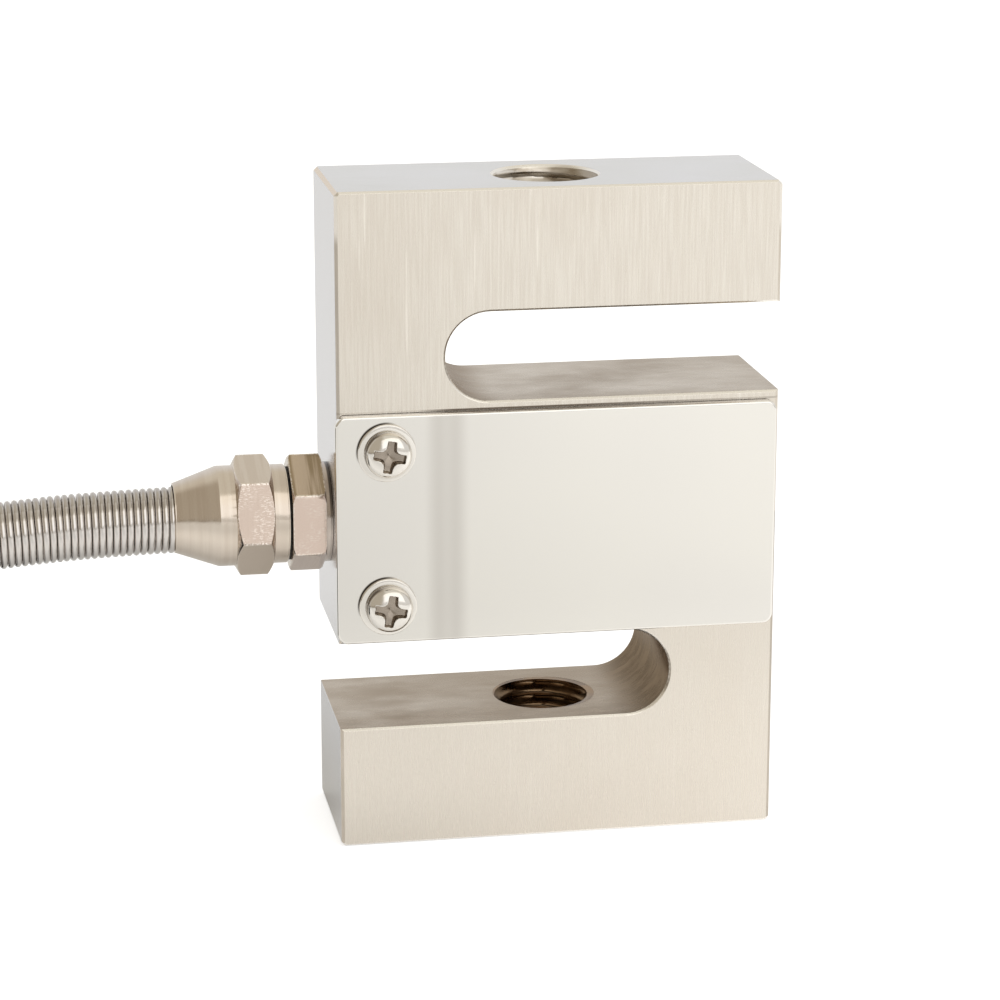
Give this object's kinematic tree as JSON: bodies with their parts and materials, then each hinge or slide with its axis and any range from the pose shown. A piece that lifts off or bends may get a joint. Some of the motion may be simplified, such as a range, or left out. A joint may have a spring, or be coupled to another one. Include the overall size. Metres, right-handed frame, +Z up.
{
  "type": "s type load cell",
  "caption": "S shaped steel beam load cell: two opposed slots, threaded ends, screwed covers over a gauge window, and a side cable gland with a spring guard.",
  "frame": {"origin": "centre of the mouth of the bottom threaded hole, in the plane of the bottom face that the block stands on", "axes": "+Z up along the load axis, through both threaded holes; +X from the side with the cable gland to the other side; -Y out of the front cover plate"},
  "size_m": [0.1706, 0.0805, 0.0762],
  "materials": {
    "body_steel": "satin nickel plating over fine brushed alloy steel",
    "cover_steel": "mirror polished stainless sheet",
    "gasket_rubber": "thin black sealing foil",
    "screw_steel": "bright nickel plated steel",
    "gauge_film": "amber polyimide film with a foil grid",
    "board_laminate": "green glass fibre laminate",
    "lead_copper": "enamelled copper wire",
    "core_red": "coloured wire insulation",
    "core_black": "coloured wire insulation",
    "core_green": "coloured wire insulation",
    "core_white": "coloured wire insulation",
    "gland_nickel": "turned brass, nickel plated, bright",
    "seal_rubber": "black nitrile rubber",
    "washer_brass": "plain turned brass",
    "cable_sheath": "satin black cable sheath",
    "spring_steel": "bright spring wire",
    "tie_plastic": "black nylon"
  },
  "bodies": {
    "root": {"s_beam_body": "body_steel", "front_cover_plate": "cover_steel", "back_cover_plate": "cover_steel", "front_cover_gasket": "gasket_rubber", "back_cover_gasket": "gasket_rubber", "cover_screws": "screw_steel", "cover_washers": "screw_steel", "strain_gauge_1": "gauge_film", "strain_gauge_2": "gauge_film", "strain_gauge_3": "gauge_film", "strain_gauge_4": "gauge_film", "bridge_board": "board_laminate", "gauge_leads": "lead_copper", "inner_core_red": "core_red", "inner_core_black": "core_black", "inner_core_green": "core_green", "inner_core_white": "core_white", "gland_body": "gland_nickel", "gland_nut": "gland_nickel", "gland_o_ring": "seal_rubber", "gland_grommet": "seal_rubber", "gland_thrust_washer": "washer_brass", "cable": "cable_sheath", "spring_guard": "spring_steel", "cable_coil": "cable_sheath", "coil_ties": "tie_plastic", "end_core_red": "core_red", "end_core_black": "core_black", "end_core_green": "core_green", "end_core_white": "core_white"}
  },
  "joints": []
}
